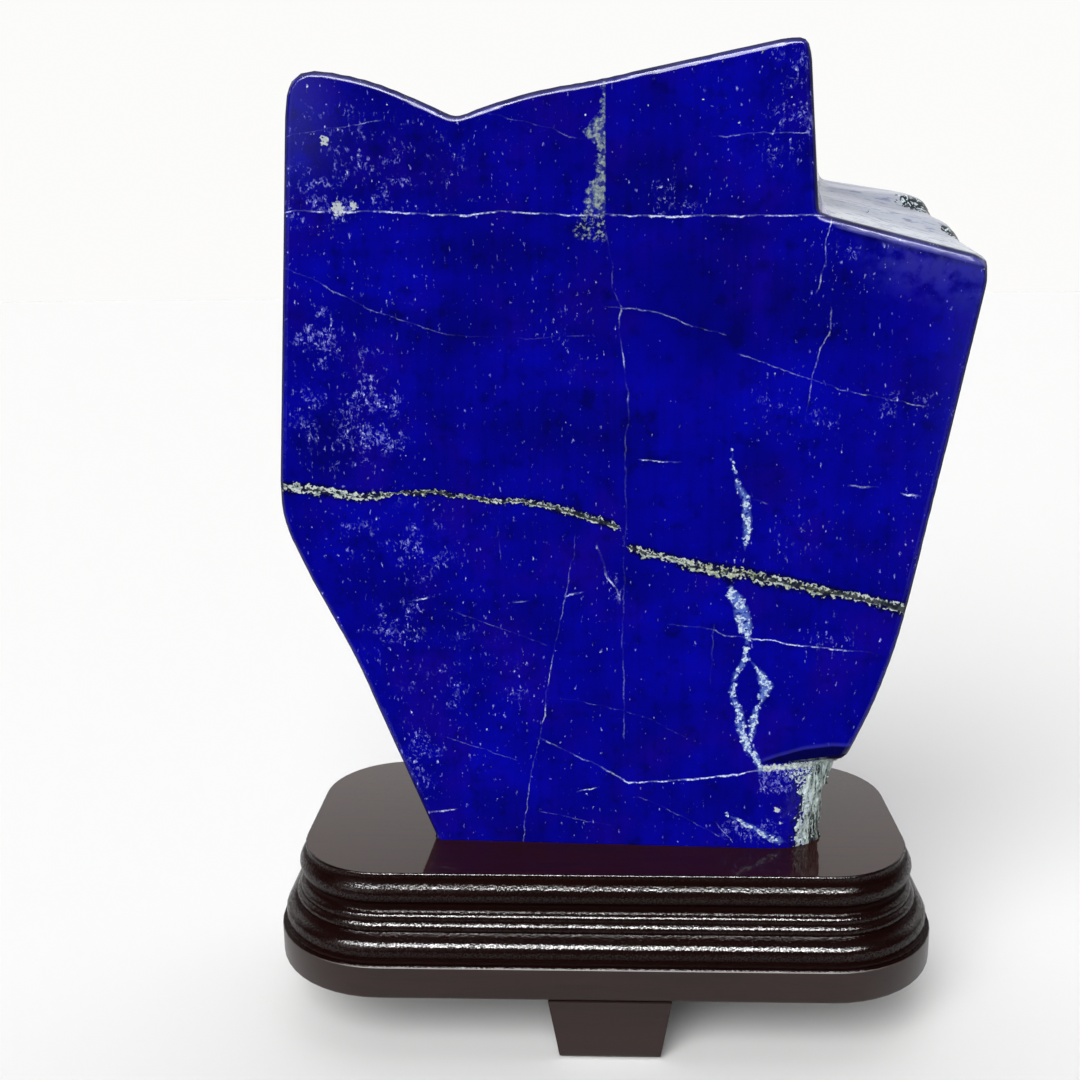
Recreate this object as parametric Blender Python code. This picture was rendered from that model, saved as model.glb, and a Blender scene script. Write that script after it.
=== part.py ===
"""Polished freeform lapis lazuli slab standing in a moulded hardwood stand.

Units are metres. The origin is the centre of the footprint's box on the floor,
+X to the right, +Y to the back, +Z up.
"""
import bmesh
import bpy
from math import cos, exp, log, pi, radians, sin
from mathutils import Matrix, Vector
from mathutils.geometry import delaunay_2d_cdt

MM = 0.001
GAP = 0.3 * MM                 # clearance between neighbouring pieces
SHARP_FROM = radians(30)       # arrises sharper than this keep a hard shading edge
MITRE_LIMIT = 0.4              # keeps the mitre of a sharp corner short

# ---- stand -------------------------------------------------------------------
TOP_WIDTH = 184.5 * MM         # flat top of the stand
TOP_DEPTH = 83.3 * MM
TOP_RADIUS = 25.8 * MM         # its corner radius in plan
CORNER_STEPS = 12
BULGE_STEPS = 5
# The moulding, from the rim of the flat top down to the underside: how far each
# arris stands out from the rim, its height, and how far the run that leads to it
# bulges out (a hollow is negative), all in mm.
MOULDING = [
    (0.0, 54.6, 0.0),
    (0.5, 54.1, 0.1),          # eased rim
    (1.0, 51.5, -0.2),         # quirk
    (2.1, 46.3, 0.95),         # upper bead
    (0.9, 45.4, 0.0),          # its undercut
    (1.3, 42.6, -0.5),         # cove
    (2.5, 40.2, 0.7),          # first reed
    (3.5, 37.2, 0.8),          # second reed
    (4.5, 36.2, 0.0),          # fillet
    (7.3, 30.9, 1.4),          # lower bead
    (8.1, 30.5, 0.0),          # fine fillet
    (8.1, 29.8, 0.0),
    (7.8, 29.4, 0.0),
    (8.8, 28.6, 0.1),          # flat band
    (8.8, 19.6, 0.0),
    (7.9, 18.5, 0.2),
]
SEAT_DEPTH = 6.0 * MM          # recess that holds the stone's foot

# ---- feet --------------------------------------------------------------------
FOOT_TOP_WIDTH = 36.2 * MM
FOOT_SOLE_WIDTH = 29.8 * MM
FOOT_DEPTH = 15.0 * MM
FOOT_SOLE_DEPTH = 13.0 * MM
FOOT_EASE = 0.8 * MM
FRONT_FOOT_X = 1.9 * MM
BACK_FOOT_X = 46.0 * MM        # each back foot's distance from the middle

# ---- stone -------------------------------------------------------------------
STONE_FACE_Y = -21.6 * MM      # polished face, from the stand's centre line
STONE_YAW = radians(-2.4)
EDGE_ROUND = 2.4 * MM          # round of the polished arrises
EDGE_STEPS = 3
CORNER_ARC_STEPS = 4
BACK_GRID = 5.6 * MM           # spacing of the points that shape the back
RIM_CLEAR = 0.6                # share of it kept free along the rim
MERGE_WITHIN = 0.0001 * MM
# Corners of the face's outline in mm, clockwise from the left end of the foot:
# name, x, z, how far from the corner its rounding starts (mostly twice that at the back),
# and the corner's shift (x, z) at the back.
OUTLINE = [
    ("seat_left", -52.0, 48.6, 0.0, (3.0, 0.0)),
    ("foot_left", -52.0, 55.2, 0.4, (3.0, 0.0)),
    ("flank_low", -74.8, 112.4, 8.0, (1.0, 6.0)),
    ("flank_high", -90.3, 143.4, 4.0, (0.0, 4.0)),
    ("waist_left", -95.8, 157.4, 6.0, (-2.0, 2.0)),
    ("crown_left", -86.9, 283.5, 10.5, (6.0, -9.0)),
    ("crown_slope", -62.4, 278.9, 9.0, (0.0, -8.0)),
    ("notch", -40.4, 268.8, 2.6, (3.0, -6.0)),
    ("crest_low", -20.0, 275.1, 6.0, (-2.0, -3.0)),
    ("crest_mid", -2.0, 277.6, 7.0, (0.0, -4.0)),
    ("peak", 55.2, 288.3, 4.5, (-1.0, -7.0)),
    ("ledge_in", 58.9, 241.8, 1.8, (6.0, 14.0)),
    ("ledge_out", 106.0, 229.2, 3.6, (-8.0, 22.0)),
    ("side_high", 94.1, 162.3, 12.0, (-9.0, 0.0)),
    ("side_mid", 86.3, 120.5, 9.0, (-8.0, 0.0)),
    ("side_low", 80.0, 100.0, 9.0, (-7.0, 0.0)),
    ("shoulder", 71.2, 80.8, 1.6, (-4.0, 2.0)),
    ("neck", 67.8, 70.0, 4.0, (-4.0, 0.0)),
    ("foot_right", 67.4, 55.2, 0.4, (-4.0, 0.0)),
    ("seat_right", 67.4, 48.6, 0.0, (-4.0, 0.0)),
]
HOLLOW_CORNERS = ("notch", "ledge_in", "neck")     # these keep their rounding to the back
LONGEST_EASE = 0.45            # most of an edge that a corner's rounding may take
# The ledge climbs to the back in worn terraces: depth behind the face and the
# ledge's inner and outer corner (x, z) there, in mm. The last one is the back edge.
TERRACES = [
    (26.0, (61.5, 245.0), (103.4, 233.8)),
    (31.0, (61.5, 246.8), (102.4, 238.3)),
    (46.0, (62.5, 249.4), (98.8, 241.4)),
    (50.0, (63.5, 250.6), (97.8, 246.3)),
    (66.0, (65.5, 252.9), (97.0, 247.8)),
]
# Broad facets that shape the back, in mm: a point on each and its slope along x
# and z; the nearest facet is the surface, and their arrises are worn soft.
BACK_FACETS = [
    ((0.0, 62.0, 150.0), (0.0, 0.07)),
    ((0.0, 60.5, 218.0), (0.15, -0.27)),
    ((-40.0, 60.0, 130.0), (0.36, 0.20)),
    ((60.0, 64.0, 150.0), (-0.30, 0.15)),
    ((-30.0, 57.0, 235.0), (0.42, -0.10)),
]
ARRIS_WEAR = 2.2
# Hollows worn or broken into the back, in mm: x, z, reach along x and z, depth.
BACK_HOLLOWS = [
    (-8.0, 212.0, 34.0, 22.0, 5.0),
    (34.0, 116.0, 24.0, 38.0, 4.5),
    (-60.0, 176.0, 18.0, 34.0, 3.8),
    (8.0, 168.0, 26.0, 18.0, -3.0),
    (-22.0, 92.0, 20.0, 22.0, 3.4),
    (74.0, 205.0, 18.0, 24.0, 3.2),
]
# A fracture step across the back: a point (x, z) on it, its direction, how much
# the surface falls beyond it and over what width, in mm.
STEP_AT, STEP_ANGLE, STEP_FALL, STEP_WIDTH = (20.0, 190.0), radians(72), 4.0, 8.0
# Plan of the neck's broken corner (x, depth), how far out its far end leans at some
# heights, and its sloping upper face: a point on it (x, depth, z) and its slopes.
NECK_PLAN = [(51.0, 0.0), (56.5, 0.9), (60.6, 2.7), (64.4, 5.6), (66.6, 9.0),
             (67.6, 14.0), (80.0, 14.0), (80.0, -6.0), (51.0, -6.0)]
NECK_REACH = 16.6
NECK_LEAN = [(40.0, 0.0), (60.0, 0.4), (70.0, 1.8)]
NECK_TOP_LEAN = 4.2
NECK_TOP = (51.0, 0.0, 82.2)
NECK_TOP_SLOPE = (0.20, -0.72)


def clear_scene():
    """Remove everything that the start-up file holds."""
    for obj in list(bpy.data.objects):
        bpy.data.objects.remove(obj, do_unlink=True)


def material(name, color, roughness, coat):
    """Plain Principled material."""
    mat = bpy.data.materials.new(name)
    mat.use_nodes = True
    shader = mat.node_tree.nodes["Principled BSDF"]
    shader.inputs["Base Color"].default_value = (*color, 1.0)
    shader.inputs["Roughness"].default_value = roughness
    shader.inputs["Coat Weight"].default_value = coat
    mat.diffuse_color = (*color, 1.0)
    return mat


def add_object(name, bm, mat):
    """Turn a bmesh into a named object with one material."""
    bmesh.ops.recalc_face_normals(bm, faces=bm.faces)
    mesh = bpy.data.meshes.new(name)
    bm.to_mesh(mesh)
    bm.free()
    mesh.materials.append(mat)
    mesh.shade_smooth()
    mesh.set_sharp_from_angle(angle=SHARP_FROM)
    obj = bpy.data.objects.new(name, mesh)
    bpy.context.scene.collection.objects.link(obj)
    return obj


def skin(bm, rings):
    """Join rings of equal length into an open wall."""
    loops = [[bm.verts.new(p) for p in ring] for ring in rings]
    for lower, upper in zip(loops, loops[1:]):
        for i in range(len(lower)):
            bm.faces.new((lower[i - 1], lower[i], upper[i], upper[i - 1]))
    return loops


def solid(rings):
    """Closed solid through rings of equal length, with flat ends."""
    bm = bmesh.new()
    loops = skin(bm, rings)
    bm.faces.new(loops[0])
    bm.faces.new(loops[-1])
    return bm


def inset(outline, distance):
    """Move a closed 2-D outline inwards (it runs clockwise); negative grows it."""
    moved = []
    for i, p in enumerate(outline):
        before = (p - outline[i - 1]).normalized()
        after = (outline[(i + 1) % len(outline)] - p).normalized()
        inward = Vector((before.y + after.y, -before.x - after.x)).normalized()
        reach = distance / max(MITRE_LIMIT, inward.dot(Vector((before.y, -before.x))))
        moved.append(p + inward * reach)
    return moved


def cut_with(target, cutter):
    """Subtract one object from another."""
    cutter.hide_render = True
    cutter.display_type = "WIRE"
    cut = target.modifiers.new("cut", "BOOLEAN")
    cut.operation = "DIFFERENCE"
    cut.solver = "EXACT"
    cut.object = cutter


# ---- stone -------------------------------------------------------------------
def corners_at(depth):
    """Outline corners (x, z, rounding) in mm at a depth behind the face."""
    face_ledge = [next(k[1:3] for k in OUTLINE if k[0] == name)
                  for name in ("ledge_in", "ledge_out")]
    stops = [(0.0, *face_ledge)] + TERRACES
    near, far = next((a, b) for a, b in zip(stops, stops[1:]) if depth <= b[0])
    share = (depth - near[0]) / (far[0] - near[0])
    corners = []
    for name, x, z, rounding, (dx, dz) in OUTLINE:
        t = depth / TERRACES[-1][0]
        x, z = x + dx * t, z + dz * t
        if name in ("ledge_in", "ledge_out"):
            pick = 1 if name == "ledge_in" else 2
            x, z = (near[pick][k] + (far[pick][k] - near[pick][k]) * share for k in (0, 1))
        corners.append((x, z, rounding if name in HOLLOW_CORNERS else rounding * (1 + t)))
    return corners


def rounded(corners):
    """Closed outline in metres with every corner eased by a curve."""
    outline = []
    for i, (x, z, reach) in enumerate(corners):
        tip = Vector((x, z)) * MM
        if not reach:
            outline.append(tip)
            continue
        ends = [Vector(corners[j][:2]) * MM
                for j in (i - 1, (i + 1) % len(corners))]
        start, stop = (tip + (e - tip).normalized() * min(reach * MM, LONGEST_EASE * (e - tip).length)
                       for e in ends)
        for k in range(CORNER_ARC_STEPS + 1):
            s = k / CORNER_ARC_STEPS
            outline.append(start * (1 - s) ** 2 + tip * (2 * s * (1 - s)) + stop * s ** 2)
    return outline


def back_depth(point):
    """Depth of the back surface behind the face at a point (x, z), in metres."""
    x, z = point / MM
    facets = [py + (x - px) * sx + (z - pz) * sz
              for (px, py, pz), (sx, sz) in BACK_FACETS]
    depth = -ARRIS_WEAR * log(sum(exp(-d / ARRIS_WEAR) for d in facets))
    for hx, hz, rx, rz, deep in BACK_HOLLOWS:
        depth -= deep * exp(-((x - hx) / rx) ** 2 - ((z - hz) / rz) ** 2)
    past = (x - STEP_AT[0]) * sin(STEP_ANGLE) + (z - STEP_AT[1]) * cos(STEP_ANGLE)
    ease = min(1.0, max(0.0, past / STEP_WIDTH))
    return (depth - STEP_FALL * ease * ease * (3 - 2 * ease)) * MM


def inside(point, outline):
    """Whether a 2-D point lies inside a closed outline."""
    crossings = 0
    for i, b in enumerate(outline):
        a = outline[i - 1]
        if (a.y > point.y) != (b.y > point.y):
            crossings += point.x < a.x + (b.x - a.x) * (point.y - a.y) / (b.y - a.y)
    return crossings % 2 == 1


def stone_rings():
    """Outlines from the rounded face edge to the rounded back edge, as (x, z), depth."""
    face, back = rounded(corners_at(0.0)), rounded(corners_at(TERRACES[-1][0]))
    turns = [0.5 * pi * k / EDGE_STEPS for k in range(EDGE_STEPS + 1)]
    rings = [[(p, EDGE_ROUND * (1 - cos(a))) for p in inset(face, EDGE_ROUND * (1 - sin(a)))]
             for a in turns]
    for depth, *_ in TERRACES:
        share = depth / TERRACES[-1][0]
        rings.append([(p, share * (back_depth(p) - EDGE_ROUND))
                      for p in rounded(corners_at(depth))])
    for a in turns[::-1][1:]:
        rings.append([(p, back_depth(p) - EDGE_ROUND * (1 - cos(a)))
                      for p in inset(back, EDGE_ROUND * (1 - sin(a)))])
    return rings


def close_back(bm, loop, outline):
    """Fill the last ring with a surface that follows the back's facets and hollows."""
    field = inset(outline, RIM_CLEAR * BACK_GRID)
    low = [min(p[k] for p in outline) for k in (0, 1)]
    high = [max(p[k] for p in outline) for k in (0, 1)]
    rows, columns = (int((high[k] - low[k]) / BACK_GRID) + 1 for k in (1, 0))
    grid = [Vector((low[0] + (c + 0.5 * (r % 2)) * BACK_GRID, low[1] + r * BACK_GRID))
            for r in range(rows) for c in range(columns)]
    grid = [p for p in grid if inside(p, field)]
    count = len(outline)
    rim = [(i, (i + 1) % count) for i in range(count)]
    points, _, faces, *_ = delaunay_2d_cdt(outline + grid, rim, [], 1, MERGE_WITHIN)
    verts = loop + [bm.verts.new((p.x, back_depth(p), p.y)) for p in points[count:]]
    for face in faces:
        bm.faces.new([verts[i] for i in face])


def stone_body():
    """The whole stone before its neck is broken away."""
    rings = stone_rings()
    bm = bmesh.new()
    loops = skin(bm, [[(p.x, depth, p.y) for p, depth in ring] for ring in rings])
    bm.faces.new(loops[0])
    close_back(bm, loops[-1], [p for p, _ in rings[-1]])
    return bm


def neck_cutter(mat):
    """Block that takes off the neck's front corner under the shoulder."""
    x0, y0, z0 = NECK_TOP
    rings = [[Vector((x + lean * (x - x0) / NECK_REACH, y, height)) * MM for x, y in NECK_PLAN]
             for height, lean in NECK_LEAN]
    rings.append([Vector((x + NECK_TOP_LEAN * (x - x0) / NECK_REACH, y,
                          z0 + (x - x0) * NECK_TOP_SLOPE[0] + (y - y0) * NECK_TOP_SLOPE[1])) * MM
                  for x, y in NECK_PLAN])
    return add_object("neck_cutter", solid(rings), mat)


def build_stone(mat):
    """The stone, with its neck broken away on one side."""
    stone = add_object("lapis_stone", stone_body(), mat)
    cutter = neck_cutter(mat)
    place = Matrix.Translation((0, STONE_FACE_Y, 0)) @ Matrix.Rotation(STONE_YAW, 4, "Z")
    for obj in (stone, cutter):
        obj.data.transform(place)
    cut_with(stone, cutter)
    return stone


# ---- stand -------------------------------------------------------------------
def plan_ring(offset, height):
    """Rounded rectangle, this far outside the flat top's rim."""
    half_x, half_y = TOP_WIDTH / 2 - TOP_RADIUS, TOP_DEPTH / 2 - TOP_RADIUS
    ring = []
    for quarter, (sx, sy) in enumerate(((1, 1), (-1, 1), (-1, -1), (1, -1))):
        for k in range(CORNER_STEPS + 1):
            angle = (quarter + k / CORNER_STEPS) * pi / 2
            ring.append((sx * half_x + (TOP_RADIUS + offset) * cos(angle),
                         sy * half_y + (TOP_RADIUS + offset) * sin(angle), height))
    return ring


def moulding_rings():
    """Plan rings down the moulding, with every bulged run drawn as a curve."""
    rings = [plan_ring(MOULDING[0][0] * MM, MOULDING[0][1] * MM)]
    for above, (offset, height, bulge) in zip(MOULDING, MOULDING[1:]):
        a, b = Vector(above[:2]) * MM, Vector((offset, height)) * MM
        outward = Vector((a.y - b.y, b.x - a.x)).normalized()
        steps = BULGE_STEPS if bulge else 1
        for k in range(1, steps + 1):
            s = k / steps
            p = a.lerp(b, s) + outward * bulge * MM * sin(pi * s)
            rings.append(plan_ring(p.x, p.y))
    return rings


def section_at(obj, height):
    """Clockwise plan outline of an object's cut at a height."""
    graph = bpy.context.evaluated_depsgraph_get()
    bm = bmesh.new()
    bm.from_mesh(obj.evaluated_get(graph).to_mesh())
    cut = bmesh.ops.bisect_plane(bm, geom=bm.verts[:] + bm.edges[:] + bm.faces[:],
                                 plane_co=(0, 0, height), plane_no=(0, 0, 1))["geom_cut"]
    edges = [g for g in cut if isinstance(g, bmesh.types.BMEdge)]
    loop = [edges[0].verts[0], edges[0].verts[1]]
    unused = set(edges[1:])
    while unused:
        step = next((e for e in unused if loop[-1] in e.verts), None)
        if step is None:
            break
        unused.remove(step)
        loop.append(step.other_vert(loop[-1]))
    outline = [v.co.xy.copy() for v in loop[:-1]]
    area = sum(outline[i - 1].cross(p) for i, p in enumerate(outline))
    bm.free()
    return outline if area < 0 else outline[::-1]


def thin_out(outline, spacing):
    """Drop points that crowd their neighbour."""
    kept = [outline[0]]
    for p in outline[1:]:
        if (p - kept[-1]).length > spacing and (p - kept[0]).length > spacing:
            kept.append(p)
    return kept


def build_plinth(stone, mat):
    """Moulded stand with a recess carved to the stone's foot."""
    plinth = add_object("stand_plinth", solid(moulding_rings()), mat)
    top = MOULDING[0][1] * MM
    seat = inset(thin_out(section_at(stone, top), MM), -GAP)
    recess = solid([[(p.x, p.y, z) for p in seat]
                    for z in (top - SEAT_DEPTH - GAP, top + SEAT_DEPTH)])
    cut_with(plinth, add_object("seat_cutter", recess, mat))
    return plinth


def build_foot(name, centre_x, side, mat):
    """Tapering block under the band, flush with its front (side -1) or back (1)."""
    face_y = side * (TOP_DEPTH / 2 + MOULDING[-2][0] * MM)
    top = MOULDING[-1][1] * MM - GAP
    rings = []
    for height, width, depth, ease in (
            (0.0, FOOT_SOLE_WIDTH, FOOT_SOLE_DEPTH, FOOT_EASE),
            (FOOT_EASE, FOOT_SOLE_WIDTH, FOOT_SOLE_DEPTH, 0.0),
            (top, FOOT_TOP_WIDTH, FOOT_DEPTH, 0.0)):
        near, far = face_y - side * ease, face_y - side * (depth - ease)
        half = width / 2 - ease
        rings.append([(centre_x + sx * half, y, height)
                      for sx, y in ((-1, near), (1, near), (1, far), (-1, far))])
    return add_object(name, solid(rings), mat)


def centre_footprint(shown, cutters):
    """Put the middle of the whole part's box over the origin."""
    graph = bpy.context.evaluated_depsgraph_get()
    points = [Vector(c) for obj in shown for c in obj.evaluated_get(graph).bound_box]
    shift = Vector([-(min(p[k] for p in points) + max(p[k] for p in points)) / 2
                    for k in (0, 1)] + [0.0])
    for obj in shown + cutters:
        obj.data.transform(Matrix.Translation(shift))


def main():
    clear_scene()
    lapis = material("lapis", (0.010, 0.012, 0.330), 0.08, 0.6)
    lacquer = material("lacquered_wood", (0.045, 0.014, 0.010), 0.25, 0.8)
    stone = build_stone(lapis)
    plinth = build_plinth(stone, lacquer)
    feet = [build_foot("foot_front", FRONT_FOOT_X, -1, lacquer),
            build_foot("foot_back_left", -BACK_FOOT_X, 1, lacquer),
            build_foot("foot_back_right", BACK_FOOT_X, 1, lacquer)]
    cutters = [o for o in bpy.data.objects if o.hide_render]
    centre_footprint([stone, plinth] + feet, cutters)


main()
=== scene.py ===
"""Looks of the polished lapis lazuli slab on its lacquered stand."""
from math import radians

import bmesh
import bpy
from mathutils import Matrix, Vector, noise


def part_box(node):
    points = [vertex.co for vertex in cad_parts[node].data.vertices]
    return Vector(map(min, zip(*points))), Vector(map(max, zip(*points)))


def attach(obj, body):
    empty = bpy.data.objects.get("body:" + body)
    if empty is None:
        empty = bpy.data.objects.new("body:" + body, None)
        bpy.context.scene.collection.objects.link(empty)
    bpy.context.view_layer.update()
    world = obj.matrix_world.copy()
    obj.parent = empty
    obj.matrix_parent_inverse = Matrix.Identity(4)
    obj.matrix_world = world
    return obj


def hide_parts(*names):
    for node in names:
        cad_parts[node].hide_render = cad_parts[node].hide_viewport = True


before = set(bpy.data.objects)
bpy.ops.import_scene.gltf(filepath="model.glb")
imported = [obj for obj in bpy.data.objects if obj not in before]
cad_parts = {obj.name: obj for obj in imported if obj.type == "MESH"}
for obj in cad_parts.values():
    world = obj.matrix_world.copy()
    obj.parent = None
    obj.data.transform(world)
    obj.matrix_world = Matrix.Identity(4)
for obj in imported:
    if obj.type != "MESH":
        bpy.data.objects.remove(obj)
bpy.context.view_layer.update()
MM = 0.001

# ---- places, from the frame --------------------------------------------------
PLINTH_LOW, PLINTH_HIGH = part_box("stand_plinth")
PLINTH_MID = (PLINTH_LOW + PLINTH_HIGH) / 2
FLAT_TOP_Z = PLINTH_HIGH.z
BAND_TOP = 28.8 * MM           # above it the plinth's mouldings, below it the plain band
STONE_YAW = radians(-2.4)
FACE_ORIGIN = Vector((PLINTH_MID.x, PLINTH_MID.y - 21.6 * MM, 0.0))
# Stone space: x along the polished face, y back into the stone, z up from the floor; in
# metres for meshes, in millimetres for the tables below and the shader.
TO_STONE = Matrix.Rotation(-STONE_YAW, 4, "Z") @ Matrix.Translation(-FACE_ORIGIN)
FROM_STONE = TO_STONE.inverted()

# ---- stone surface -----------------------------------------------------------
WELD = 0.002 * MM              # points nearer than this are joined
FACE_BAND = 0.05 * MM          # how near the face plane a point counts as on it
SEAT_Z = FLAT_TOP_Z + 1.5 * MM     # below this the stone keeps its shape, to fit the recess
FACE_EDGE = 9 * MM             # longest mesh edge on the flat face
SIDE_EDGE = 3.6 * MM           # elsewhere
LEDGE_EDGE = 2.2 * MM          # on the ledge
NECK_EDGE = 1.3 * MM           # on the neck's broken side
SPLIT_ROUNDS = 9               # most rounds of splitting long edges
SMOOTH_ROUNDS = 2
LEDGE_ROUNDS = 5               # more of them on the ledge
LEDGE_SIDE = 66                # the ledge lies to the right of this, mm
LEDGE_FINE_Z = 195             # and is close-meshed above this height, mm
LEDGE_SMOOTH_X = LEDGE_SIDE + 2    # the extra smoothing starts here, mm,
LEDGE_SMOOTH_Z = 190               # and above this height
NECK_LINE = 82.5               # top of the neck's broken side, mm
NECK_SIDE = 57                 # its left limit on the face, mm
NECK_MARGIN = 3                # the close mesh goes on this far above NECK_LINE, mm
NECK_FADE = 4                  # its relief grows in over this width, mm
WAVES = [(28, 0.35), (90, 0.10)]   # hand-polished waves: noise cells per metre, height in mm
CALM_DEPTH = 12                # they grow to full height over this depth, mm
FIBRE_CELLS = (0.9, 0.12)      # noise cells per mm across the neck's fibres and along them
CHIP_CELLS = 0.45              # and of the coarser chips between them
FIBRE_RISE, CHIP_RISE = 0.55, 0.35     # relief of the broken neck, mm
NECK_SINK = 0.35               # and how far it lies back, mm

# ---- veins, in stone space, mm -----------------------------------------------
SPAN_X = (-100.0, 110.0)       # reach of the curves that run across
SPAN_Z = (45.0, 290.0)         # and of those that run upwards
STRENGTH_SPAN = (0.0, 1.3)     # how strong a vein can be
WIDTH_SPAN = (0.0, 2.0)        # half widths that the pyrite vein can have
VEIN_WANDER = 2.2              # range over which noise moves a vein's path
VEIN_LEAN_X, VEIN_LEAN_Z = 0.08, 0.14      # how far it moves for each mm into the stone
VEIN_BLUR = 0.10               # how far a thin vein's edge fades to each side
JAG = 2.4                      # range over which grain-sized noise frays an edge
# Veins that run across. Each: (x, z) points, (x, strength) points, half width.
ACROSS = [
    ([(-90, 244.2), (-73, 243.8), (-56, 243.7), (-50, 242.8), (-39, 242.4), (-28, 243.3),
      (-12, 242.3), (13, 241.6), (32, 241.3), (64, 241.2)],
     [(-97, 0.8), (-60, 0.75), (-40, 0.95), (-10, 0.7), (10, 1), (63, 1), (66, 0)], 0.22),
    ([(-90, 264), (-70, 266.4), (-59, 268.5), (-33, 269.6), (-15, 265.1), (-5, 261.6), (28, 262),
      (40, 262.6), (56, 262.8)],
     [(-90, 0), (-86, 0.3), (-64, 0.5), (-60, 0), (-35, 0), (-32, 0.25), (-15, 0.4), (-5, 0.2),
      (-3, 0), (29, 0), (31, 0.3), (48, 0.9), (54, 0.5), (56, 0)], 0.14),
    ([(-90, 228.6), (-80, 224.4), (-67, 217.3), (-57, 213.9), (-43, 209.6), (-20, 208.5),
      (-3.2, 209.5), (-1.2, 217.1), (8, 216.8), (15, 215.6), (20, 214), (26, 211.2),
      (34.8, 209.2), (36.8, 203.9), (40, 203.6), (50, 199.6), (58, 196.9), (66, 194.1),
      (76, 191.8), (90, 189.2)],
     [(-97, 0.5), (-70, 0.4), (-45, 0.2), (-40, 0.06), (-24, 0.1), (-6, 0.15), (-4, 0), (0, 0),
      (1, 0.4), (20, 0.45), (33.6, 0.3), (34.4, 0), (37.2, 0), (38, 0.35), (66, 0.3), (80, 0.5),
      (90, 0.3), (92, 0)], 0.15),
    ([(-46, 128.7), (-33, 124.2), (-16, 117.8), (19, 125), (33, 123.6), (36, 121.9), (50, 120.7),
      (54, 119.5), (66, 118.4), (76, 117.2), (90, 115)],
     [(-47, 0), (-45, 0.25), (-18, 0.25), (-15, 0), (18.6, 0), (20, 0.45), (35, 0.3), (48, 0.8),
      (52, 0.9), (76, 0.4), (80, 0)], 0.18),
    ([(-48, 88.4), (-35, 84.5), (-25, 81), (-15, 101.6), (-6, 100.5), (5, 98.2), (14, 95.5),
      (26, 89.2)],
     [(-49, 0), (-47, 0.25), (-27, 0.2), (-25.6, 0), (-14.6, 0), (-13, 0.22), (24, 0.16),
      (27, 0)], 0.14),
    ([(-19, 88.7), (-8, 83.2), (0, 79.6), (8, 74.9), (20, 75.7), (31, 77), (42, 78.8), (50, 80.4),
      (60, 81.6), (71, 82.1)],
     [(-20, 0), (-18, 0.4), (5, 0.4), (8, 0.8), (48, 0.95), (52, 1)], 0.24),
    ([(-19, 64.9), (-6, 62.2), (3.4, 60.4), (10.6, 70.6), (20, 66.3), (37, 57.2)],
     [(-20, 0), (-18, 0.22), (2.4, 0.2), (3.6, 0), (10.4, 0), (12, 0.22), (36, 0.3), (38, 0)],
     0.14),
    ([(10.8, 174), (24, 173), (33, 63.8), (40, 55.8), (42.2, 162.4), (47, 161.6)],
     [(10.2, 0), (11.2, 0.8), (22.2, 0.4), (23.2, 0), (33.8, 0), (34.8, 0.4), (38.8, 0.6),
      (39.8, 0), (42.4, 0), (43.2, 0.3), (46.4, 0.25), (47.4, 0)], 0.19),
    ([(-57, 131), (-52, 132.6), (-26, 131.4), (-22.6, 132), (-10, 133.8), (-5.8, 134.4),
      (70, 167), (78.2, 166.1), (84.5, 164.5), (90, 163.8)],
     [(-58, 0), (-56.8, 0.8), (-52.6, 0.7), (-51.4, 0), (-27, 0), (-25.8, 0.3), (-23, 0.3),
      (-21.8, 0), (-11.2, 0), (-10, 0.9), (-6.2, 0.9), (-5, 0), (69, 0), (70.4, 0.35), (78, 0.3),
      (79.2, 0), (84, 0), (85.2, 1), (88, 0.8), (90.5, 0)], 0.24),
    ([(-54, 63.5), (-45, 64.8), (-6.5, 71.9), (-2.8, 73.2)],
     [(-55, 0), (-53.5, 0.8), (-46, 0.7), (-44.6, 0), (-7.6, 0), (-6.4, 0.7), (-3.2, 0.7),
      (-2, 0)], 0.2),
]
# Veins that run upwards, as (z, x) points and (z, strength) points.
UPWARDS = [
    ([(96, 6.4), (108, 6.3), (120, 5.7), (132, 6.3), (149, 6.2), (155, 6.8), (165, 6.6),
      (178, 6.4), (188, 7.5), (193, 7.2), (201, 6.1), (211, 4.6), (217, 5.4), (222, 2.8),
      (229, 2.7), (236, 1.0)],
     [(84, 0), (90, 0.2), (118, 0.25), (124, 0.06), (132, 0.2), (136, 0.06), (144, 0.12),
      (152, 0.06), (158, 0.2), (168, 0.08), (184, 0.2), (187, 0.5), (191, 0.8), (193, 0.1),
      (199, 0.1), (203, 0.8), (206, 0.1), (212, 0.15), (215, 0.5), (218, 0.15), (236, 0.2),
      (238, 0)], 0.2),
    ([(56, -24.6), (77, -21.8), (89, -18.7), (104, -16.7), (128, -12), (144, -8.9),
      (154, -7.4)],
     [(52, 0.3), (90, 0.4), (104, 0.55), (128, 0.3), (150, 0.25), (154, 0)], 0.15),
    ([(188, 57), (198, 58.6), (206, 60.5), (211, 63), (217, 63.2), (219.4, 58.4),
      (228.5, 61), (234, 60.8), (240, 62.3)],
     [(185, 0), (188, 0.25), (200, 0.45), (215.4, 0.4), (216.6, 0), (219.8, 0), (221, 0.5),
      (232, 0.4), (241, 0.6), (242, 0)], 0.17),
    ([(133.6, 5.3), (139.2, 1.4), (148.7, -1.6)],
     [(132, 0), (133.6, 0.7), (139, 0.8), (142, 0.25), (148, 0.5), (149.5, 0)], 0.32),
    ([(108, 32), (126, 32.4), (143, -30), (155, -30.4)],
     [(106, 0), (109, 0.16), (124, 0.14), (126, 0), (143, 0), (145, 0.16), (153, 0.14),
      (155, 0)], 0.18),
]
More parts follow.
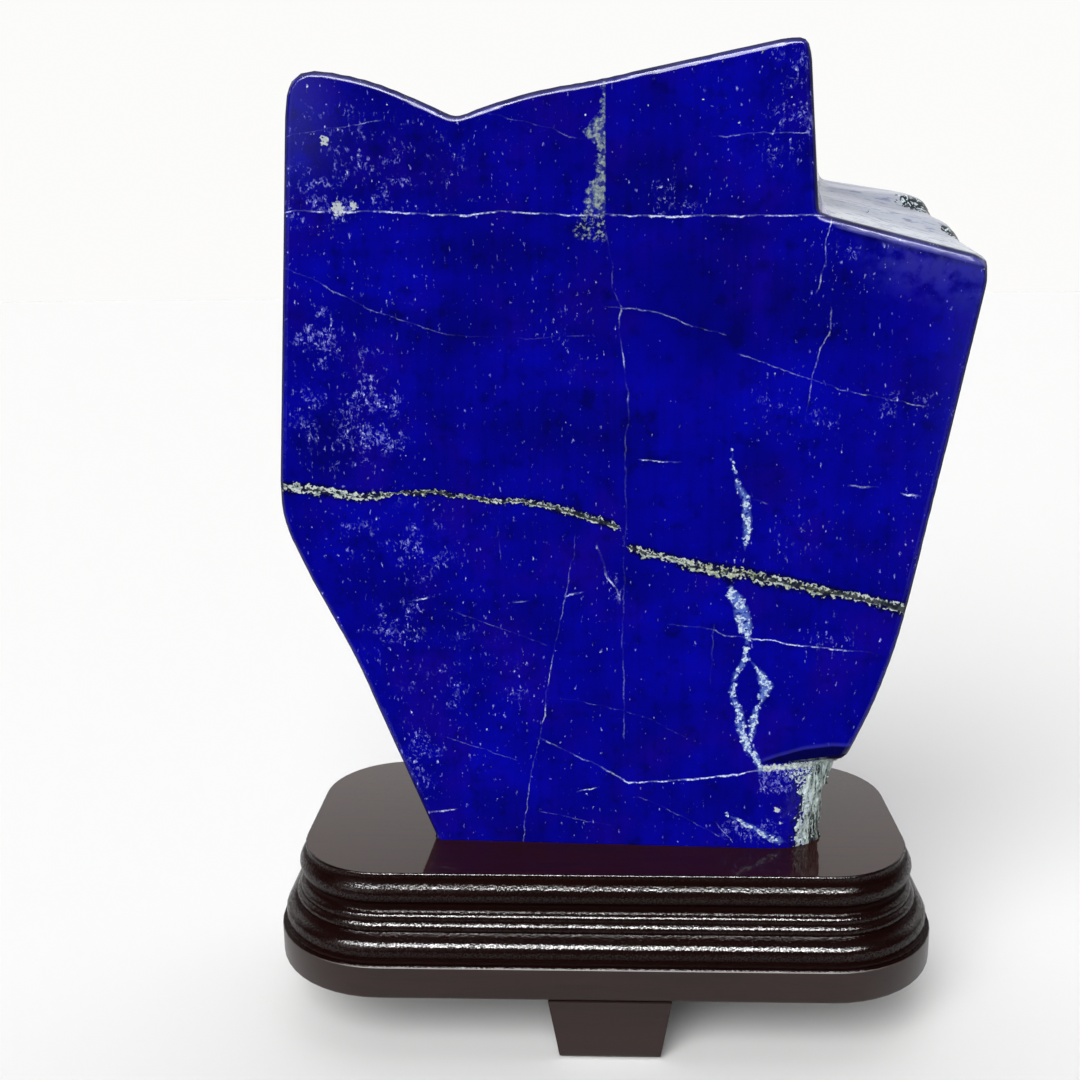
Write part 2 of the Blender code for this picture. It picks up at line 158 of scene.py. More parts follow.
# Crusty white veins that run upwards; the last number is their half width at strength 1.
CRUSTY = [
    ([(81, 47.1), (87, 43.8), (93, 41), (98, 40.8), (104, 38.3), (110, 39.3), (114, 41.9),
      (121, 42.6), (125, 41.4), (131, 40), (137, 37), (147.4, 41.1), (153, 41.5), (158, 41.4),
      (163, 40.7), (167, 38.6), (172, 37.4), (178, 36.6)],
     [(77, 0), (79, 0.6), (86, 1), (96, 0.75), (108, 0.55), (114, 0.75), (120, 0.5),
      (126, 1.3), (134, 1.2), (137, 0.6), (138, 0), (146, 0), (150, 0.6), (158, 0.9),
      (164, 0.8), (170, 0.4), (178, 0.2), (179, 0)], 2.4),
    ([(87, 44.3), (96, 44.6), (102, 46.6), (106.5, 48.5), (110, 46.8), (115, 43)],
     [(86, 0), (90, 0.6), (96, 0.9), (101, 0.55), (107, 1.3), (110, 0.9), (116, 0)], 2.2),
    ([(56.5, 53.5), (58.5, 50.5), (61, 46), (63, 42), (65.5, 37.5)],
     [(54, 0), (56, 0.5), (57, 0.9), (60, 0.8), (63, 0.5), (65.5, 0.3), (67, 0)], 4.2),
]
# Pyrite and calcite vein across the face, broken by a small fault, as (x, z) points.
PYRITE = [(-96, 165.9), (-84, 165.0), (-76, 163.4), (-70, 162.7), (-57, 164.2), (-50, 164.4),
          (-43, 163.2), (-33, 162.2), (-21, 161.3), (-12, 159.5), (-1, 156.3), (5.7, 154.1),
          (6.1, 148.7), (14, 146.3), (25, 143.4), (35, 141.0), (41, 140.4), (51, 138.6),
          (63, 136.0), (73, 134.1), (81, 132.1), (90, 129.8)]
# Its half width along x, before noise makes it uneven.
PYRITE_WIDTH = [(-97, 0.85), (-80, 0.95), (-66, 0.75), (-61, 0.25), (-56, 0.4), (-48, 0.6),
                (-36, 0.4), (-28, 0.5), (-14, 0.75), (3.4, 0.75), (4.8, 0.05), (6.8, 0.05),
                (8.2, 0.8), (18, 0.85), (30, 1.1), (38, 1.5), (45, 1.1), (55, 1.15),
                (70, 0.95), (84, 1.05), (94, 1.05)]
# How olive its grains are along it.
PYRITE_OLIVE = [(-97, 0.15), (-60, 0.1), (-52, 0.6), (-36, 0.5), (-30, 0.2), (0, 0.2), (20, 0.35),
                (32, 0.8), (44, 0.8), (50, 0.2), (58, 0.7), (66, 0.6), (74, 0.1), (94, 0.1)]
# How dark the vein's heart is along it.
PYRITE_HEART = [(-97, 0.35), (-68, 0.4), (-60, 0.9), (-50, 0.85), (-30, 0.65), (0, 0.85),
                (12, 0.5), (30, 0.35), (42, 0.45), (52, 0.7), (60, 0.6), (72, 0.85), (94, 0.95)]
# Grey-green streak near the top: (z, x) points of its left edge; the right one is straight.
STREAK_LEFT = [(235.3, -7.9), (241.2, -7.9), (242.4, -4.9), (249.5, -4.3), (251.8, -1.9),
               (260, -1.2), (263.5, -5.4), (268, -1.6), (271, -0.2), (279, 0.1)]
STREAK_RIGHT = 0.7
STREAK_SPAN = (-10.0, 2.0)     # reach of that left edge
# Soft spots: x, z, reach along x and z, and an amount, 1 if not given.
# Where there are more flecks, or fewer below 0.
FLECK_FIELDS = [
    (-65, 184, 10, 13, 0.9), (-80, 210, 7, 8, 0.8), (-61, 125, 9, 8, 0.9), (-54, 134, 7, 6, 0.5),
    (52, 268, 9, 16, 0.9), (-52, 256, 28, 13, 0.55), (-82, 248, 10, 10, 0.5),
    (46, 188, 10, 8, 0.7), (60, 182, 9, 9, 0.6), (58, 154, 12, 12, 0.5), (22, 247, 12, 7, 0.7),
    (42, 256, 14, 6, 0.4), (-36, 127, 14, 10, 0.4), (44, 60, 11, 5, 1.3), (53, 77, 9, 5, 2.2),
    (62, 225, 14, 16, 0.35), (-60, 80, 12, 16, 0.6), (-75, 190, 16, 22, 0.4),
    (88, 150, 12, 30, 0.3), (86, 190, 14, 6, 0.9), (-8, 210, 8, 18, 0.6), (4, 136, 4, 6, 1.0),
    (-40, 110, 24, 14, 0.4), (66, 122, 9, 8, 0.7), (-72, 244.5, 4, 3.5, 1.5),
    (22, 190, 18, 44, -0.7), (24, 112, 14, 16, -0.3), (-73, 151, 9, 7, 0.75),
    (-49, 146, 16, 9, 0.6), (51, 283, 7, 4, 1.0), (56, 268, 3, 12, 0.7), (-62, 272, 18, 6, 0.25),
    (84, 232, 22, 5, 0.6),
]
# Single pale blots.
BLOBS = [(-73.5, 244.6, 2.3, 2.4), (-69.2, 245.4, 1.2, 1.4), (-76.6, 262.8, 1.7, 1.5),
         (52.6, 67.4, 1.1, 1.0), (54.0, 62.9, 0.6, 0.6)]
# Where the blue is darker, and where lighter.
DARK_FIELDS = [(-44, 211, 17, 7), (-66, 216, 10, 5), (-80, 178, 10, 12), (60, 218, 14, 16),
               (-34, 232, 22, 6), (-58, 262, 30, 14, 0.4), (14, 250, 12, 12), (-6, 184, 26, 10),
               (30, 222, 12, 20)]
LIGHT_FIELDS = [(-60, 228, 26, 12), (-20, 196, 22, 14), (20, 176, 16, 24), (-64, 150, 18, 10),
                (20, 118, 18, 22), (-30, 74, 16, 14), (46, 192, 18, 16),
                (74, 200, 34, 70, 0.45), (30, 268, 34, 18, 0.5)]
# Chips on the ledge, with the depth y in place of z.
LEDGE_CHIPS = [(92, 43, 5.5, 4), (100, 25, 3.5, 2.6)]
# The arris between face and ledge: its height at x = 0 and its fall along x.
LEDGE_LINE, LEDGE_FALL = 257.56, 0.2675
# Upper edge of the painted shade on the shoulder over the neck, where a painted highlight runs, as
# (x, z) points.
SHOULDER_ARC = [(46, 82.2), (52, 84.6), (60, 87.2), (68, 88.4), (76, 88.2)]
SHOULDER_SPAN = (80.0, 90.0)

# ---- colours, linear ---------------------------------------------------------
ULTRAMARINE = (0.0010, 0.0007, 0.232)
ROYAL = (0.0012, 0.0014, 0.370)
NAVY = (0.0008, 0.0007, 0.100)
VIOLET = (0.0050, 0.0006, 0.240)
MIDNIGHT = (0.0010, 0.0008, 0.030)
STEEL = (0.11, 0.19, 0.56)
LAVENDER = (0.17, 0.18, 0.66)
CALCITE = (0.62, 0.68, 0.86)
FROST = (0.58, 0.69, 0.74)
CREAM = (0.58, 0.64, 0.62)
OLIVE = (0.30, 0.33, 0.13)
CORE = (0.008, 0.012, 0.018)
SAGE = (0.23, 0.31, 0.30)
MATRIX = (0.58, 0.67, 0.64)
RIND_PALE = (0.60, 0.64, 0.67)
RIND_GREY = (0.42, 0.45, 0.50)
RIND_LILAC = (0.24, 0.25, 0.37)
WOOD_DARK = (0.0040, 0.0013, 0.0012)
TOP_WOOD = (0.0240, 0.0034, 0.0024)
# The moulding's wood is made darker than the top's and the band's: painted shade for its grooves.
BEAD_WOOD = (0.0080, 0.0022, 0.0018)
BAND_WOOD = (0.0170, 0.0045, 0.0028)

# ---- wood --------------------------------------------------------------------
FIGURE = 0.45                  # how strongly the grain shows
# How glossy the moulding is at each height, mm: bright beads, dull grooves.
MOULDING_GLOSS = [(28, 0.5), (29.4, 0.2), (30.8, 0.2), (32, 0.6), (34, 1), (35.6, 1),
                  (36.3, 0.15), (37.2, 0.2), (38.2, 0.8), (39.8, 1), (40.3, 0.15), (41, 0.7),
                  (42.2, 1), (42.9, 0.15), (45.5, 0.1), (46.4, 0.2), (47.6, 0.7), (50.6, 1),
                  (51.4, 0.3), (52.6, 0.2), (53.6, 0.7), (54.6, 1)]
SAME_PLANE = radians(0.2)      # faces this close to one plane are joined
SHARP_EDGE = radians(35)       # edges bent by more than this are drawn sharp
LEVEL = 0.999                  # a face counts as level when its normal's z is above this
TOP_BAND = 0.1 * MM            # how near the flat top a face counts as on it

# ---- stage -------------------------------------------------------------------
TABLE_FRONT = -0.15            # front edge of the table top, m
TABLE_HALF = 2.5               # half its width and depth, m
TABLE_DROP = 0.2 * MM          # how far it lies below the feet
TABLE_WHITE = 0.80
WALL_LIGHT = 0.973             # brightness of the surroundings behind the object
PANEL_LIGHT = 1.9              # higher up behind it
ROOM_LIGHT = 0.05              # in front of it
WINDOW_LIGHT = 1.6             # pale patches in front that the polish mirrors
CEILING = 0.25                 # share of the brightness behind that is left overhead
# Soft suns that no reflection shows: energy, spread in degrees, where they shine from.
SUNS = {"daylight": (3.0, 50, (-0.35, -1.0, 1.05)), "overhead": (0.55, 60, (0.0, 0.30, 1.20))}
# Strip lamp that only reflections show.
STRIP_SIZE = (1.5, 0.30)
STRIP_ENERGY = 110
STRIP_AT = (-0.05, -0.80, 1.05)
AIM_HEIGHT = 0.15              # lights are aimed at this height over the floor, m

# ---- camera ------------------------------------------------------------------
# Place and axes as solved from the stand and the turntable, for a chosen focal length.
CAMERA_AT = Vector((PLINTH_MID.x - 2.15 * MM, PLINTH_MID.y - 389.7 * MM, 236.76 * MM))
CAMERA_RIGHT = Vector((0.9991, 0.04078, -0.01172))
CAMERA_UP = Vector((0.0021, 0.22841, 0.97356))
CAMERA_AHEAD = Vector((-0.04238, 0.97271, -0.22812))
SENSOR = 36.0
FOCAL = SENSOR * 1300 / 1080   # 1300 pixels of a frame 1080 wide


class Graph:
    """Short calls for building a shader's node tree."""

    def __init__(self, tree):
        self.tree = tree

    def plug(self, socket, value):
        if isinstance(value, bpy.types.NodeSocket):
            self.tree.links.new(value, socket)
        elif isinstance(value, tuple) and socket.type == "RGBA" and len(value) == 3:
            socket.default_value = (*value, 1.0)
        else:
            socket.default_value = value

    def add(self, kind, inputs=None, **settings):
        node = self.tree.nodes.new("ShaderNode" + kind)
        for name, value in settings.items():
            setattr(node, name, value)
        for name, value in (inputs or {}).items():
            self.plug(node.inputs[name], value)
        return node

    def math(self, operation, *values, clamp=False):
        node = self.add("Math", operation=operation, use_clamp=clamp)
        for socket, value in zip(node.inputs, values):
            self.plug(socket, value)
        return node.outputs[0]

    def vector(self, operation, *values):
        node = self.add("VectorMath", operation=operation)
        for socket, value in zip(node.inputs, values):
            self.plug(socket, value)
        return node.outputs[0]

    def apart(self, a, b):
        """How far two values are apart."""
        return self.math("ABSOLUTE", self.math("SUBTRACT", a, b))

    def in_mm(self, vector):
        """A vector in metres, turned into millimetres."""
        return self.add("VectorMath", {"Vector": vector, "Scale": 1 / MM},
                        operation="SCALE").outputs[0]

    def ease(self, value, low, high):
        """0 at low, 1 at high, smooth between; low may be above high."""
        return self.add("MapRange", {"Value": value, "From Min": low, "From Max": high},
                        interpolation_type="SMOOTHSTEP").outputs[0]

    def mix(self, amount, a, b, blend="MIX"):
        node = self.add("Mix", data_type="RGBA", blend_type=blend)
        for index, value in ((0, amount), (6, a), (7, b)):
            self.plug(node.inputs[index], value)
        return node.outputs[2]

    def noise(self, vector, scale, detail=2.0, rough=0.5, warp=0.0):
        return self.add("TexNoise", {"Vector": vector, "Scale": scale, "Detail": detail,
                                     "Roughness": rough, "Distortion": warp})

    def channels(self, vector, scale, detail):
        """Three unrelated noises of one scale."""
        colour = self.noise(vector, scale, detail, 0.6).outputs["Color"]
        return self.add("SeparateColor", {"Color": colour}).outputs

    def stretch(self, vector, x, y, z):
        return self.vector("MULTIPLY", vector, (x, y, z))

    def curve(self, value, points, span_in, span_out):
        """Straight-line function through points; value and result run 0 to 1 over the spans."""
        node = self.add("FloatCurve", {"Value": value})
        curve = node.mapping.curves[0]
        places = [tuple((n - low) / (high - low) for n, (low, high) in zip(p, (span_in, span_out)))
                  for p in points]
        if places[0][0] > 0:
            places.insert(0, (0.0, places[0][1]))
        if places[-1][0] < 1:
            places.append((1.0, places[-1][1]))
        curve.points[0].location = places[0]
        curve.points[1].location = places[-1]
        for place in places[1:-1]:
            curve.points.new(*place)
        for point in curve.points:
            point.handle_type = "VECTOR"
        node.mapping.update()
        return node.outputs[0]

    def field(self, x, z, spots):
        """Sum of soft round spots (x, z, reach x, reach z, amount)."""
        total = 0.0
        for sx, sz, rx, rz, *amount in spots:
            dx = self.math("MULTIPLY", self.math("SUBTRACT", x, float(sx)), 1.0 / rx)
            dz = self.math("MULTIPLY", self.math("SUBTRACT", z, float(sz)), 1.0 / rz)
            square = self.math("MULTIPLY_ADD", dx, dx, self.math("MULTIPLY", dz, dz))
            spot = self.ease(square, 1.6, 0.0)
            total = self.math("MULTIPLY_ADD", spot, float(amount[0] if amount else 1.0), total)
        return total


def new_material(name):
    """Material with an empty Principled graph; returns it, its graph and shader."""
    mat = bpy.data.materials.new(name)
    mat.use_nodes = True
    graph = Graph(mat.node_tree)
    return mat, graph, mat.node_tree.nodes["Principled BSDF"]


# ---- lapis -------------------------------------------------------------------
class Lapis:
    """Builds the stone's shader: blue ground, then flecks, veins, pyrite and broken rock, with
    painted shade, painted highlights and a painted sheen at its edges.
    """

    def __init__(self):
        self.mat, self.g, self.shader = new_material("lapis_polished")
        g = self.g
        coords = g.add("TexCoord").outputs["Object"]
        centred = g.vector("SUBTRACT", coords, tuple(FACE_ORIGIN))
        turned = g.add("VectorRotate", {"Vector": centred, "Angle": -STONE_YAW},
                       rotation_type="Z_AXIS").outputs[0]
        self.place = g.in_mm(turned)
        # Noises, from cloud-sized to grain-sized.
        self.broad, self.patches, self.tint = g.channels(self.place, 0.045, 2.0)
        self.middle, self.gaps, _ = g.channels(self.place, 0.17, 3.0)
        self.lumps = g.channels(self.place, 0.62, 1.5)
        self.width, self.crumb, self.speck = g.channels(self.place, 1.15, 2.0)
        self.x, self.y, self.z = g.add("SeparateXYZ", {"Vector": self.place}).outputs
        # The place again, wandering softly for thin veins, and jagged for crusty edges.
        self.soft_x = g.math("ADD", self.x, self.shift(self.middle, VEIN_LEAN_X))
        self.soft_z = g.math("ADD", self.z, self.shift(self.gaps, VEIN_LEAN_Z))
        self.jag_x = self.jagged(self.soft_x, self.width)
        self.jag_z = self.jagged(self.soft_z, self.crumb)

    def shift(self, ripple, lean):
        """Wander of a vein's path, and its lean with depth."""
        g = self.g
        wander = g.math("MULTIPLY", g.math("SUBTRACT", ripple, 0.5), VEIN_WANDER)
        return g.math("MULTIPLY_ADD", self.y, lean, wander)

    def jagged(self, value, grit):
        """A value made uneven by grain-sized noise."""
        g = self.g
        return g.math("MULTIPLY_ADD", g.math("SUBTRACT", grit, 0.5), JAG, value)

    def unit(self, value, span):
        """Map a span onto 0 to 1."""
        scale = 1 / (span[1] - span[0])
        return self.g.math("MULTIPLY_ADD", value, scale, -span[0] * scale)

    def base_colour(self):
        """Mottled ultramarine with navy shadows and faint upright bands."""
        g = self.g
        bands = g.noise(g.stretch(self.place, 1.0, 1.0, 0.05), 0.5, 2.0, 0.5).outputs["Fac"]
        rows = g.noise(g.stretch(self.place, 0.06, 1.0, 1.0), 0.35, 2.0, 0.5).outputs["Fac"]
        colour = g.mix(g.ease(self.tint, 0.44, 0.70), ULTRAMARINE, VIOLET)
        light = g.math("MULTIPLY", g.field(self.x, self.z, LIGHT_FIELDS), 0.40)
        light = g.math("MULTIPLY_ADD", g.ease(self.broad, 0.45, 0.68), 0.50, light)
        light = g.math("MULTIPLY_ADD", g.ease(self.middle, 0.50, 0.80), 0.35, light)
        colour = g.mix(g.math("MINIMUM", light, 0.9), colour, ROYAL)
        dark = g.math("MULTIPLY", g.field(self.x, self.z, DARK_FIELDS), 0.45)
        dark = g.math("MULTIPLY_ADD", g.ease(self.middle, 0.50, 0.26), 0.60, dark)
        dark = g.math("MULTIPLY_ADD", g.ease(self.patches, 0.50, 0.30), 0.35, dark)
        dark = g.math("MULTIPLY_ADD", g.ease(bands, 0.54, 0.34), 0.15, dark)
        dark = g.math("MULTIPLY_ADD", g.ease(rows, 0.54, 0.34), 0.06, dark)
        return g.mix(g.math("MINIMUM", dark, 0.9), colour, NAVY)

    def fleck_density(self):
        """How many flecks there are: more at the left and in set places."""
        g = self.g
        spots = g.field(self.x, self.z, FLECK_FIELDS)
        density = g.math("MULTIPLY", g.ease(self.x, 10.0, -80.0), 0.30)
        density = g.math("MULTIPLY_ADD", g.ease(self.patches, 0.42, 0.75), 0.45, density)
        return g.math("ADD", spots, density)

    def flecks(self, colour):
        """Blots, fine specks and lace-like growth of pale calcite."""
        g = self.g
        patchy = g.math("MULTIPLY_ADD", g.ease(self.middle, 0.40, 0.60), 0.9, 0.35)
        density = g.math("MULTIPLY", self.fleck_density(), patchy)
        blot = g.noise(g.stretch(self.place, 1.25, 1.0, 0.6), 0.72, 2.0, 0.62).outputs["Fac"]
        blots = g.ease(g.math("MULTIPLY_ADD", density, 0.075, blot), 0.665, 0.745)
        specks = g.ease(g.math("MULTIPLY_ADD", density, 0.055, self.speck), 0.750, 0.81)
        lace = g.noise(g.stretch(self.place, 1.0, 1.0, 0.8), 0.72, 1.5, 0.5, 0.6).outputs["Fac"]
        lace = g.ease(g.apart(lace, 0.5), 0.065, 0.030)
        lace = g.math("MULTIPLY", lace, g.ease(density, 0.75, 1.25))
        lace = g.math("MULTIPLY", lace, g.ease(self.lumps[2], 0.46, 0.58))
        pale = g.math("MAXIMUM", g.math("MAXIMUM", blots, g.math("MULTIPLY", specks, 0.5)),
                      g.math("MULTIPLY", lace, 0.75))
        uneven = g.math("MULTIPLY_ADD", g.ease(self.lumps[1], 0.38, 0.60), 0.80, 0.20)
        pale = g.math("MULTIPLY", pale, uneven)
        blobs = g.ease(g.math("MULTIPLY_ADD", g.field(self.jag_x, self.jag_z, BLOBS), 0.55,
                              self.speck), 0.80, 1.0)
        haze = g.math("MULTIPLY", g.ease(density, 0.3, 1.4), g.ease(blot, 0.50, 0.66))
        colour = g.mix(g.math("MULTIPLY", haze, 0.05), colour, LAVENDER)
        bright = g.mix(g.ease(self.width, 0.50, 0.68), LAVENDER, CALCITE)
        colour = g.mix(g.math("MULTIPLY", pale, 0.9), colour, bright)
        return g.mix(g.math("MULTIPLY", blobs, 0.85), colour, CREAM)

    def thin_lines(self):
        """Strength of the thin white veins at each place."""
        g = self.g
        x, z = self.unit(self.soft_x, SPAN_X), self.unit(self.soft_z, SPAN_Z)
        total = 0.0
        for tracks, value, other, span_in, span_out in ((ACROSS, x, z, SPAN_X, SPAN_Z),
                                                        (UPWARDS, z, x, SPAN_Z, SPAN_X)):
            scale = 1 / (span_out[1] - span_out[0])
            for path, strength, half in tracks:
                middle = g.curve(value, path, span_in, span_out)
                off = g.apart(other, middle)
                amount = g.curve(value, strength, span_in, STRENGTH_SPAN)
                mask = g.add("MapRange", {"Value": off, "From Min": (half + VEIN_BLUR) * scale,
                                          "From Max": (half - VEIN_BLUR) * scale}).outputs[0]
                total = g.math("MAXIMUM", total, g.math("MULTIPLY", mask, amount))
        uneven = g.math("MULTIPLY_ADD", g.ease(self.gaps, 0.42, 0.58), 0.95, 0.18)
        uneven = g.math("MULTIPLY", uneven, g.math("ADD", self.width, 0.72))
        total = g.math("MULTIPLY", total, STRENGTH_SPAN[1])
        total = g.math("MULTIPLY", total, uneven, clamp=True)
        return g.math("POWER", total, 1.6)

    def crusty(self):
        """Crusty white veins: 0 outside them, rising to their strength in the middle."""
        g = self.g
        value, other = self.unit(self.soft_z, SPAN_Z), self.unit(self.soft_x, SPAN_X)
        total = 0.0
        for path, strength, reach in CRUSTY:
            middle = g.curve(value, path, SPAN_Z, SPAN_X)
            off = g.math("MULTIPLY", g.apart(other, middle), (SPAN_X[1] - SPAN_X[0]) / reach)
            amount = g.curve(value, strength, SPAN_Z, STRENGTH_SPAN)
            amount = g.math("MULTIPLY", amount, STRENGTH_SPAN[1])
            total = g.math("MAXIMUM", total, g.math("SUBTRACT", amount, off))
        return total

    def pyrite(self):
        """Distance from the pyrite vein's middle over its half width, its darkness and tint."""
        g = self.g
        value, other = self.unit(self.soft_x, SPAN_X), self.unit(self.jag_z, SPAN_Z)
        middle = g.curve(value, PYRITE, SPAN_X, SPAN_Z)
        off = g.math("SUBTRACT", other, middle)
        off = g.math("MULTIPLY", off, SPAN_Z[1] - SPAN_Z[0])
        width = g.curve(value, PYRITE_WIDTH, SPAN_X, WIDTH_SPAN)
        width = g.math("MULTIPLY", width, g.math("MULTIPLY_ADD", self.gaps, 3.4, 0.5))
        heart = g.curve(value, PYRITE_HEART, SPAN_X, STRENGTH_SPAN)
        olive = g.curve(value, PYRITE_OLIVE, SPAN_X, (0.0, 1.0))
        return g.math("DIVIDE", g.math("ABSOLUTE", off), width), heart, olive

    def pyrite_layers(self, colour):
        """Dark edge, cream grains and dark heart of the pyrite vein."""
        g = self.g
        ratio, heart, olive = self.pyrite()
        lump, ash, pocket = self.lumps
        grains = g.math("MULTIPLY_ADD", lump, 2.6, g.math("MULTIPLY", ratio, -1.0))
        shade = g.math("MULTIPLY", g.ease(ratio, 2.4, 1.2), 0.88)
        colour = g.mix(shade, colour, MIDNIGHT)
        body = g.ease(grains, 0.12, 0.34)
        metal = g.mix(g.ease(ash, 0.36, 0.50), SAGE, CREAM)
        metal = g.mix(g.math("MULTIPLY", olive, g.ease(self.width, 0.44, 0.56)), metal, OLIVE)
        metal = g.mix(g.ease(pocket, 0.50, 0.42), metal, MIDNIGHT)
        colour = g.mix(g.math("MULTIPLY", body, 0.95), colour, metal)
        line = g.math("MULTIPLY_ADD", self.crumb, -2.0, g.math("MULTIPLY_ADD", heart, 1.15, 0.85))
        core = g.math("SUBTRACT", line, ratio)
        colour = g.mix(g.math("MULTIPLY", g.ease(core, -0.12, 0.10), 0.92), colour, CORE)
        return colour, body

    def streak(self, colour):
        """Grey-green streak near the top of the face."""
        g = self.g
        value = self.unit(self.soft_z, SPAN_Z)
        left = g.curve(value, STREAK_LEFT, SPAN_Z, STREAK_SPAN)
        left = g.math("MULTIPLY_ADD", left, STREAK_SPAN[1] - STREAK_SPAN[0], STREAK_SPAN[0])
        ragged = g.math("MULTIPLY_ADD", self.lumps[0], 4.0, g.math("ADD", self.jag_x, -2.0))
        inside = g.ease(g.math("SUBTRACT", ragged, left), -0.2, 0.8)
        right = g.ease(g.math("MULTIPLY_ADD", self.width, 0.5, self.x), STREAK_RIGHT + 0.6,
                       STREAK_RIGHT)
        foot, crown = STREAK_LEFT[0][0], STREAK_LEFT[-1][0]
        low = g.ease(self.jag_z, foot - 0.5, foot + 0.8)
        high = g.ease(self.z, crown, crown - 2.0)
        mask = g.math("MULTIPLY", g.math("MULTIPLY", inside, right), g.math("MULTIPLY", low, high))
        above = g.ease(self.z, 241.0, 244.5)
        grains = g.math("MULTIPLY_ADD", above, 0.11, self.crumb)
        tone = g.mix(g.ease(self.width, 0.46, 0.60), SAGE, g.mix(self.lumps[2], OLIVE, CREAM))
        showing = g.ease(self.lumps[1], 0.40, 0.52)
        mask = g.math("MULTIPLY", mask, g.math("MULTIPLY_ADD", showing, 0.85, 0.10))
        colour = g.mix(g.math("MULTIPLY", mask, 0.40), colour, g.mix(above, MIDNIGHT, SAGE))
        grains = g.math("MULTIPLY", g.ease(grains, 0.50, 0.66), 0.8)
        return g.mix(g.math("MULTIPLY", mask, grains), colour, tone), mask

    def neck(self, colour):
        """Pale fibrous rock on the neck's broken side, with painted shade in patches at its lower
        right, and over it the shoulder: a painted highlight along its edge and painted shade below
        that.
        """
        g = self.g
        arc = g.curve(self.unit(self.x, SPAN_X), SHOULDER_ARC, SPAN_X, SHOULDER_SPAN)
        arc = g.math("MULTIPLY", arc, SHOULDER_SPAN[1] - SHOULDER_SPAN[0])
        over = g.math("SUBTRACT", g.math("ADD", arc, SHOULDER_SPAN[0]), self.z)
        right = g.ease(self.x, 46.0, 49.0)
        # Painted highlight: a faint lavender line along the shoulder's edge.
        shoulder_highlight = g.math("MULTIPLY", g.ease(g.math("ABSOLUTE", over), 1.1, 0.0), right)
        colour = g.mix(g.math("MULTIPLY", shoulder_highlight, 0.09), colour, LAVENDER)
        # Painted shade: the strip between the shoulder's edge and the neck's top is made near
        # black.
        lens = g.math("MULTIPLY", g.ease(over, 0.1, 0.7), right)
        lens = g.math("MULTIPLY", lens, g.ease(self.z, NECK_LINE - 0.6, NECK_LINE))
        colour = g.mix(g.math("MULTIPLY", lens, 0.88), colour, MIDNIGHT)
        fibres = g.noise(g.stretch(self.place, 1.0, 1.0, 0.10), 1.5, 2.0, 0.7).outputs["Fac"]
        under = g.ease(self.jag_z, NECK_LINE + 0.7, NECK_LINE - 0.3)
        ragged = g.math("MULTIPLY_ADD", self.lumps[0], 9.0, g.math("ADD", self.jag_x, -4.5))
        crumbs = g.math("MULTIPLY", g.ease(self.z, 71.0, 79.5),
                        g.math("MULTIPLY_ADD", self.crumb, 40.0, -20.0))
        edge = g.math("SUBTRACT", g.math("ADD", ragged, crumbs), NECK_SIDE + 1.9)
        edge = g.math("MULTIPLY_ADD", g.ease(self.z, 57.0, 66.0), -1.4, edge)
        halo = g.ease(g.math("ABSOLUTE", g.math("ADD", edge, 0.6)), 2.0, 1.0)
        halo = g.math("MULTIPLY", g.math("MULTIPLY", halo, under),
                      g.ease(self.lumps[2], 0.44, 0.54))
        colour = g.mix(g.math("MULTIPLY", halo, 0.75), colour, MIDNIGHT)
        column = g.math("MULTIPLY", g.ease(edge, -0.3, 0.3), under)
        frost = g.ease(g.apart(edge, 1.0), 2.6, 1.0)
        ash = g.mix(g.ease(fibres, 0.44, 0.57), SAGE, MATRIX)
        # Painted shade: the broken side turns near black in patches. There are more of them
        # towards its lower right.
        shade = g.math("MULTIPLY_ADD", g.ease(self.x, 60.5, 64.0), g.ease(self.z, 70.0, 58.0),
                       g.math("MULTIPLY", fibres, -9.0))
        shade = g.math("MULTIPLY_ADD", self.lumps[1], -3.0, shade)
        ash = g.mix(g.ease(shade, -5.7, -4.7), ash, CORE)
        ash = g.mix(g.math("MULTIPLY", frost, g.ease(self.crumb, 0.40, 0.52)), ash, FROST)
        colour = g.mix(column, colour, ash)
        seam = g.math("SUBTRACT", self.jag_z, g.math("MULTIPLY_ADD", self.x, 0.055, 77.9))
        seam = g.math("MULTIPLY", g.ease(g.math("ABSOLUTE", seam), 1.05, 0.5), right)
        colour = g.mix(seam, colour, g.mix(g.ease(self.speck, 0.4, 0.6), SAGE, CREAM))
        return colour, g.math("MAXIMUM", column, seam)

    def rind(self, colour, broken):
        """Pale banded skin on the ledge with its chips; painted shade and a painted highlight at
        its arris, a painted sheen below that, and painted shade on the face's rounded edge.
        """
        g = self.g
        normal = g.add("NewGeometry").outputs["Normal"]
        normal = g.add("SeparateXYZ", {"Vector": normal}).outputs
        aside = g.ease(normal[0], 0.90, 0.70)
        turned = g.math("MAXIMUM", g.math("ABSOLUTE", normal[0]), normal[2])
        bevel = g.math("MULTIPLY", g.ease(self.y, 5.0, 3.0), g.math("SUBTRACT", 1.0, broken))
        soft = g.math("MULTIPLY", g.ease(turned, 0.10, 0.24), bevel)
